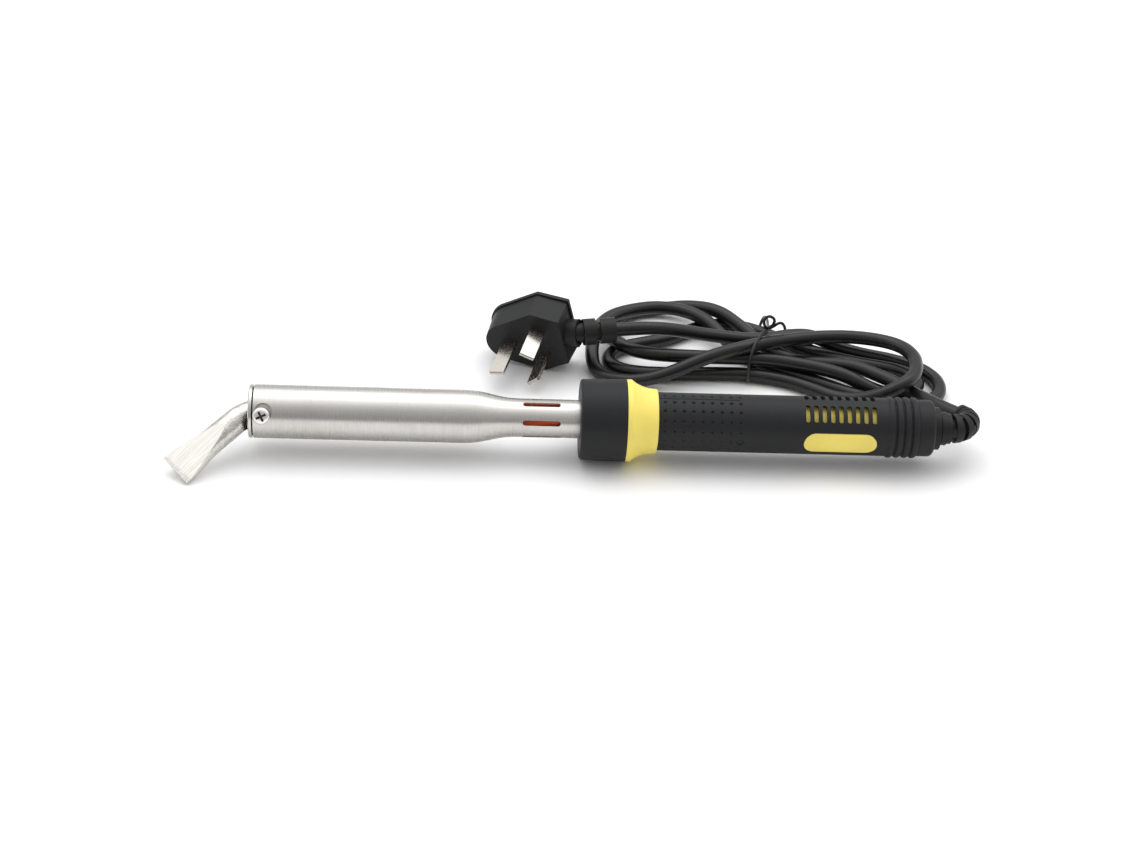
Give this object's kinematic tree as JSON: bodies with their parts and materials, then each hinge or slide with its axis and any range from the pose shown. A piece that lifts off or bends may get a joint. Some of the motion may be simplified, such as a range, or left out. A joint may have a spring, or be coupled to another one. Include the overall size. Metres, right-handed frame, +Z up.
{
  "type": "soldering iron",
  "caption": "Mains soldering iron with a bent chisel tip, screw-clamped in a slotted steel barrel, on a vented two-colour handle with a hanked cord and plug.",
  "frame": {"origin": "on the floor, under the middle of the iron's own box, which leaves out the strain relief and cord", "axes": "+X along the barrel and handle from the tip's end towards the cord's end, +Z up, +Y towards the hank"},
  "size_m": [0.3352, 0.1512, 0.034],
  "materials": {
    "tip_plating": "nickel-plated copper, satin with a fine cast texture",
    "screw_nickel": "bright nickel plate",
    "stainless": "drawn stainless, fine turned lines",
    "turned_steel": "turned, oxidised by heat",
    "mica": "layered mica sheet",
    "heater_alloy": "drawn resistance wire",
    "ceramic": "unglazed steatite",
    "red_silicone": "glass-braided silicone sleeve",
    "zinc_steel": "bright zinc plate",
    "black_plastic": "fine spark-eroded texture",
    "yellow_plastic": "smooth satin moulding",
    "block_plastic": "natural polyamide",
    "brass": "machined",
    "brown_insulation": "extruded PVC",
    "blue_insulation": "extruded PVC",
    "earth_insulation": "extruded PVC, green and yellow",
    "black_rubber": "soft moulded PVC, matte",
    "cord_jacket": "extruded jacket, low sheen",
    "tie_plastic": "thin plastic over wire",
    "plug_plastic": "moulded, low sheen",
    "plug_brass": "plated brass blades"
  },
  "bodies": {
    "iron": {"barrel_end_ring": "stainless", "barrel_tube": "stainless", "tip_bush": "turned_steel", "heater_tube": "turned_steel", "mica_inner": "mica", "heater_winding": "heater_alloy", "mica_outer": "mica", "front_insulator": "ceramic", "rear_insulator": "ceramic", "lead_live": "red_silicone", "lead_neutral": "red_silicone", "lead_earth": "earth_insulation", "barrel_flange": "stainless", "flange_screws": "zinc_steel", "front_collar": "black_plastic", "handle_core": "yellow_plastic", "grip_sleeve": "black_plastic", "terminal_block": "block_plastic", "terminal_inserts": "brass", "terminal_screws": "zinc_steel", "core_live": "brown_insulation", "core_neutral": "blue_insulation", "core_earth": "earth_insulation", "cord_clamp": "black_plastic", "clamp_screws": "zinc_steel", "strain_relief": "black_rubber", "cord_in_handle": "cord_jacket", "cord_lead": "cord_jacket", "cord_hank": "cord_jacket", "twist_tie": "tie_plastic", "cord_plug_lead": "cord_jacket", "plug_body": "plug_plastic", "pin_earth": "plug_brass", "pin_live": "plug_brass", "pin_neutral": "plug_brass"},
    "bit": {"tip": "tip_plating"},
    "clamp_screw": {"tip_screw": "screw_nickel"}
  },
  "joints": [
    {"name": "tip_slide", "type": "slide", "parent": "iron", "child": "bit", "axis": [-1, 0, 0], "range_m": [0, 0.055]},
    {"name": "tip_screw_turn", "type": "hinge", "parent": "iron", "child": "clamp_screw", "pos_m": [-0.1184, -0.00359, 0.02126], "axis": [0, -0.9219, 0.3875], "range_deg": [0, 1080]}
  ]
}
